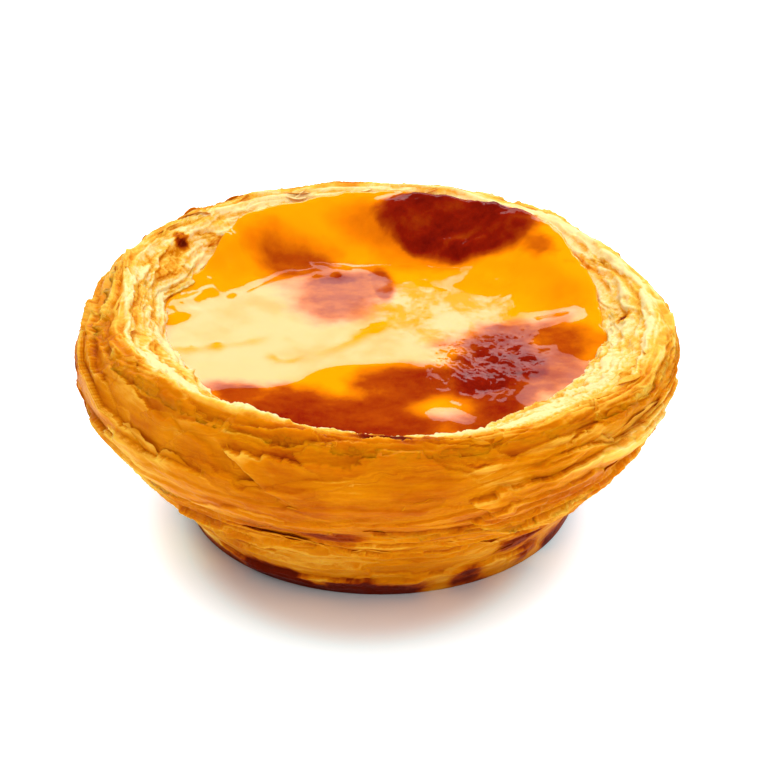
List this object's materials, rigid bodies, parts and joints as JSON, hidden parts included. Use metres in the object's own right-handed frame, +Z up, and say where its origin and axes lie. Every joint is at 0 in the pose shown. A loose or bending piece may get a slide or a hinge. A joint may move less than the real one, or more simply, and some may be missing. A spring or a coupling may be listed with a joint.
{
  "type": "portuguese custard tart",
  "caption": "Small round custard tart: a flaring cup of flaky laminated pastry with an uneven crumbly rim, filled with glossy, sunken, scorched egg custard.",
  "frame": {"origin": "middle of the flat base that the tart stands on", "axes": "+Z up through the custard; +X to the right, towards the side where the rim sags; +Y to the back, where the custard climbs highest"},
  "size_m": [0.0759, 0.0755, 0.0285],
  "materials": {
    "pastry": "baked laminated pastry: golden to caramel brown, paler and crumbly at the rim, dark at the base, with a faint buttery sheen",
    "custard": "glossy set egg custard: deep yellow, with caramel-brown and near-black scorched skin"
  },
  "bodies": {
    "root": {"pastry_shell": "pastry", "custard": "custard"}
  },
  "joints": []
}
